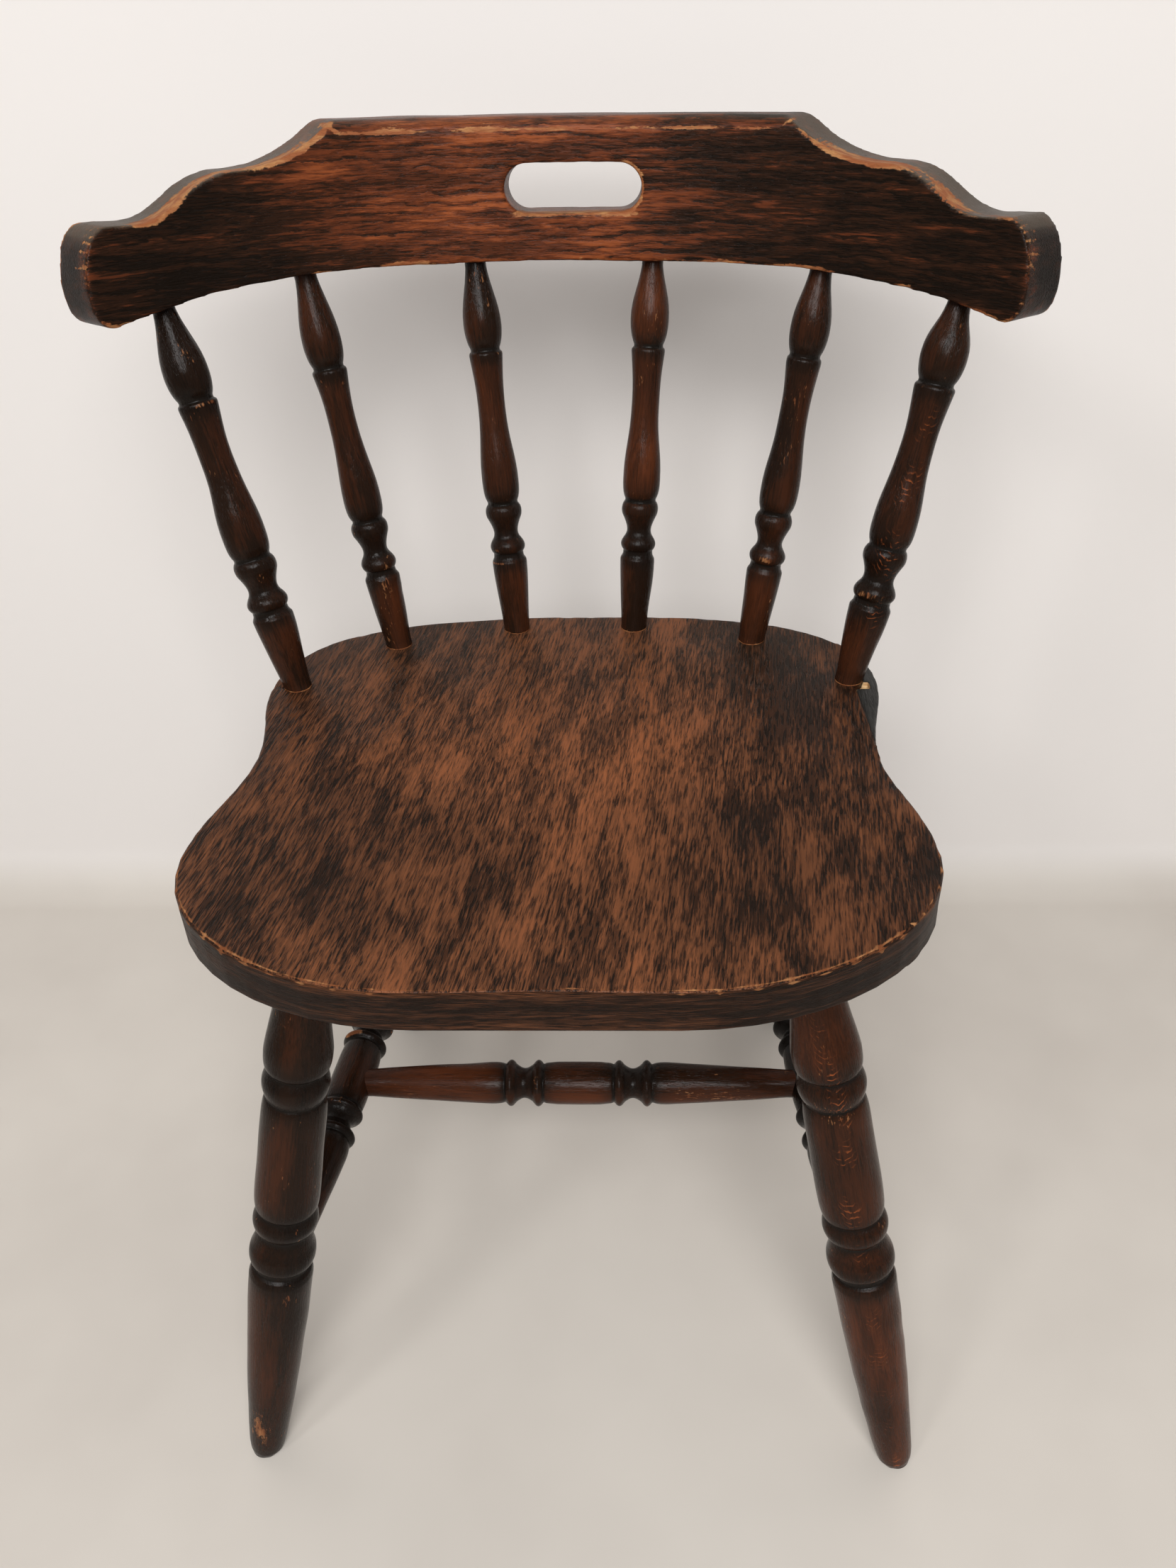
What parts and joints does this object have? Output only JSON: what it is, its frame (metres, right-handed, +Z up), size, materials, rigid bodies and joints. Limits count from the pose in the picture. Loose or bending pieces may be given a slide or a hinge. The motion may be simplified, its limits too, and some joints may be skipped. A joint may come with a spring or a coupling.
{
  "type": "low-back spindle armchair",
  "caption": "Low-back wooden chair with a bored plank seat, splayed turned legs, turned spindles and a curved crest rail with a hand slot, dark stain worn at the edges.",
  "frame": {"origin": "on the floor, under the centre of the chair's box", "axes": "+Z up; -Y towards the front of the seat; +X to the right as the chair is seen from its front"},
  "size_m": [0.6016, 0.4869, 0.7974],
  "materials": {
    "seat_wood": "dark brown stain under dull varnish, pores open, worn to bare wood along the front edge",
    "leg_wood": "dark red-brown stain under worn satin varnish, rings rubbed to bare wood",
    "stretcher_wood": "dark red-brown stain under worn satin varnish, rings rubbed to bare wood",
    "spindle_wood": "dark red-brown stain under satin varnish, beads rubbed to bare wood",
    "rail_wood": "red-brown stain under satin varnish, darker at the ends, front top edge rubbed to bare wood",
    "repair_black": "black paint, chipped to bare wood at its rear"
  },
  "bodies": {
    "root": {"seat": "seat_wood", "seat_corner_patch": "repair_black", "leg_front_left": "leg_wood", "leg_front_right": "leg_wood", "leg_rear_left": "leg_wood", "leg_rear_right": "leg_wood", "side_stretcher_left": "stretcher_wood", "side_stretcher_right": "stretcher_wood", "cross_stretcher": "stretcher_wood", "spindle_1": "spindle_wood", "spindle_2": "spindle_wood", "spindle_3": "spindle_wood", "spindle_4": "spindle_wood", "spindle_5": "spindle_wood", "spindle_6": "spindle_wood", "crest_rail": "rail_wood"}
  },
  "joints": []
}
